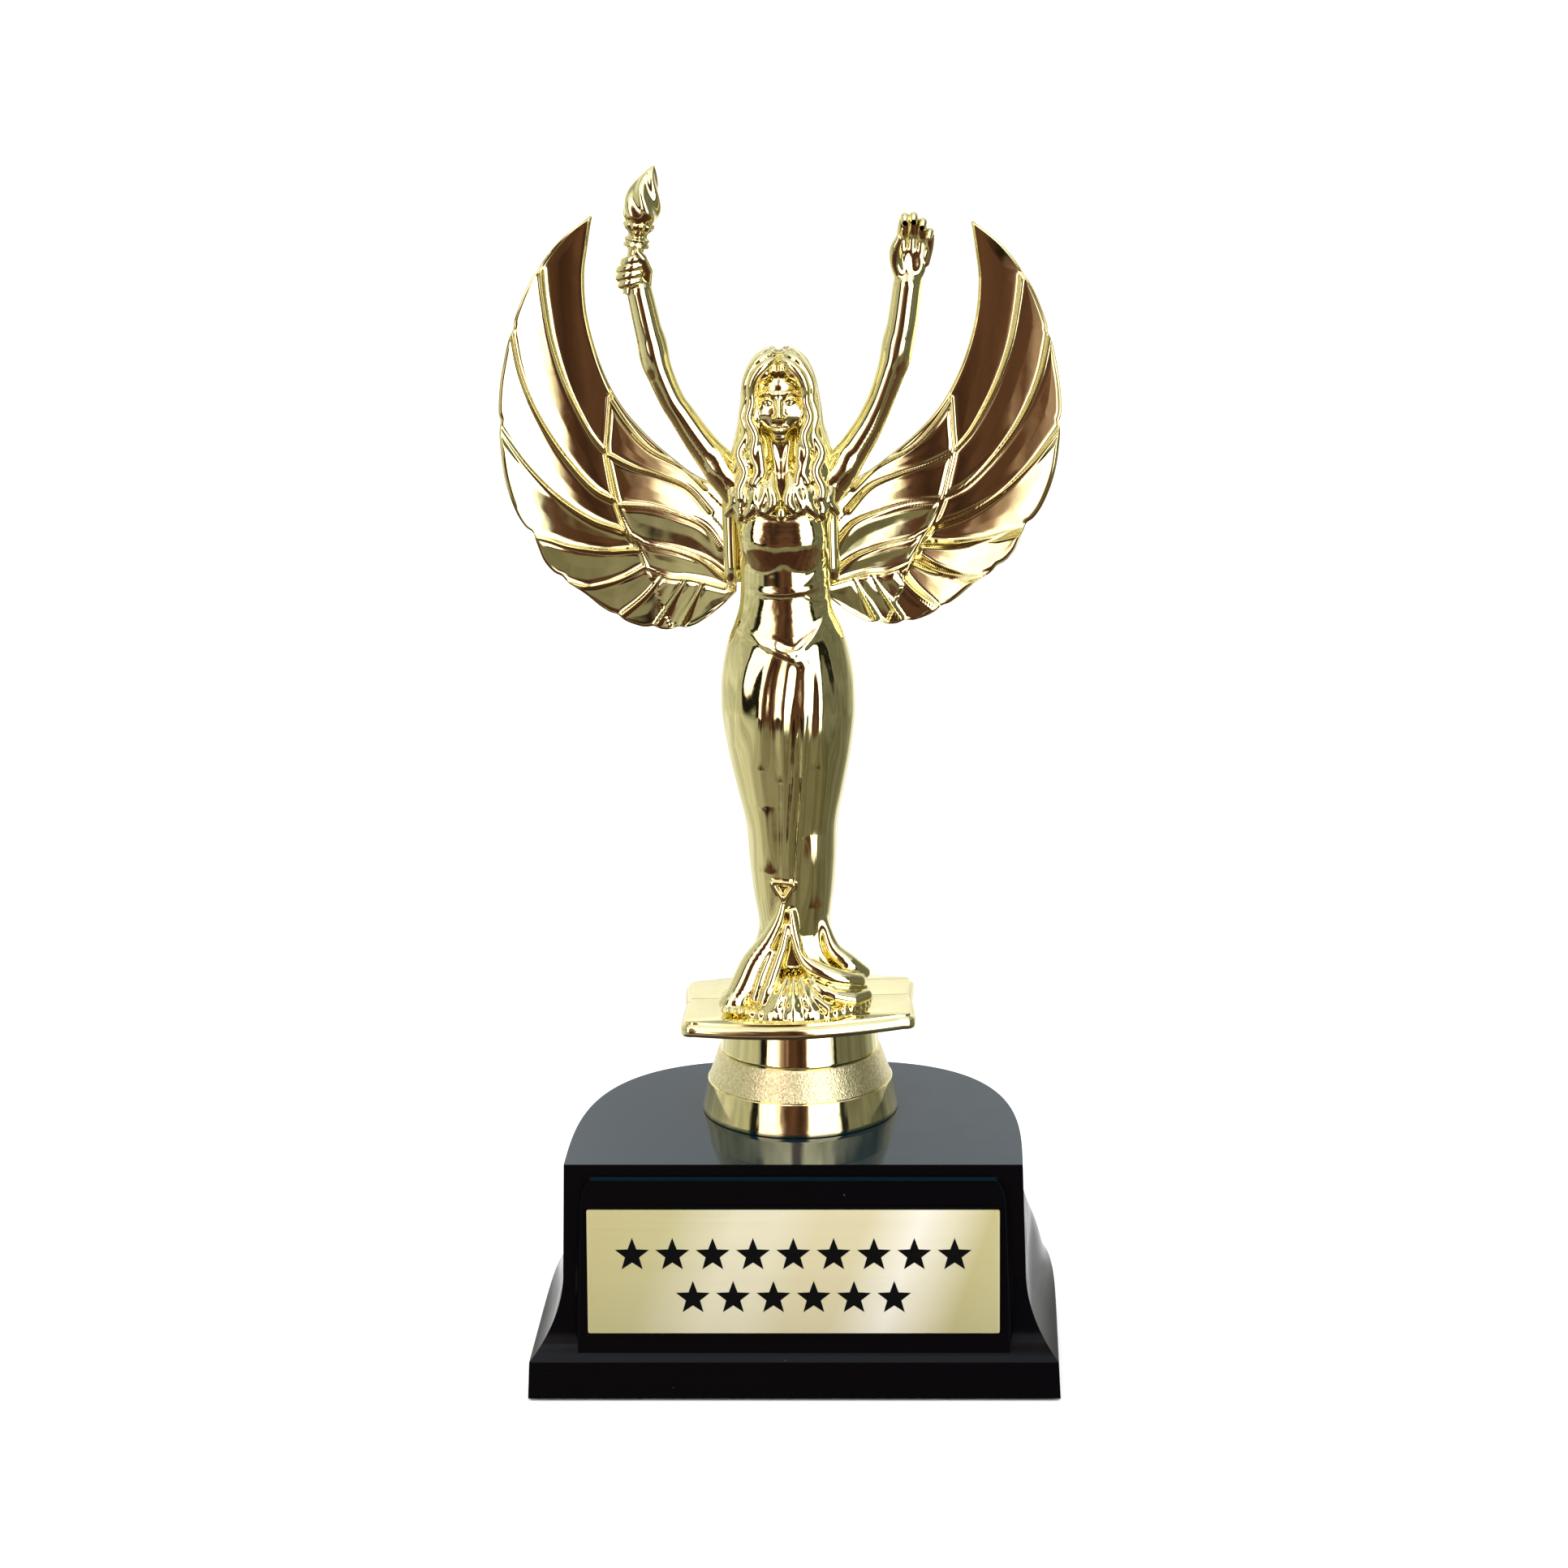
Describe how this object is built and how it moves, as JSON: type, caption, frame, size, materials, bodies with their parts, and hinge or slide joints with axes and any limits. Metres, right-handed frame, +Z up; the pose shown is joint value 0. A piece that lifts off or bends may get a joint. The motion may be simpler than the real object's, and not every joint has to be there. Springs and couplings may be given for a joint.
{
  "type": "figure trophy",
  "caption": "Winged torch-bearer figure in bright gold plastic, standing on a banded riser and a D-shaped weighted black base with a gold name plate.",
  "frame": {"origin": "on the clamping stud's axis, at the underside of the felt pad, where the trophy rests", "axes": "+Z up along the stud, +Y from the name plate towards the back, +X to the viewer's right"},
  "size_m": [0.0878, 0.0602, 0.1866],
  "materials": {
    "base_plastic": "moulded gloss black styrene",
    "gold_plastic": "vacuum metallised bright pale gold",
    "plate_metal": "gold lacquered, fine satin brushing",
    "steel": "zinc plated",
    "brass": "turned",
    "iron": "rough cast",
    "cover_plastic": "sheet styrene",
    "felt": "black felt",
    "tape": "double-sided foam tape"
  },
  "bodies": {
    "base": {"base_shell": "base_plastic", "base_weight": "iron", "bottom_cover": "cover_plastic", "cover_screws": "steel", "felt_pad": "felt", "plate_tape": "tape", "name_plate": "plate_metal", "flat_washer": "steel"},
    "riser": {"riser": "gold_plastic"},
    "figure": {"figure_front": "gold_plastic", "figure_rear": "gold_plastic", "right_arm": "gold_plastic", "left_arm": "gold_plastic", "torch": "gold_plastic", "right_wing": "gold_plastic", "left_wing": "gold_plastic", "figure_insert": "brass", "stud": "steel", "lock_washer": "steel", "hex_nut": "steel"}
  },
  "joints": [
    {"name": "riser_swivel", "type": "hinge", "parent": "base", "child": "riser", "pos_m": [0, 0, 0.0367], "axis": [0, 0, 1], "continuous": true},
    {"name": "figure_swivel", "type": "hinge", "parent": "riser", "child": "figure", "pos_m": [0, 0, 0.0525], "axis": [0, 0, 1], "continuous": true}
  ]
}
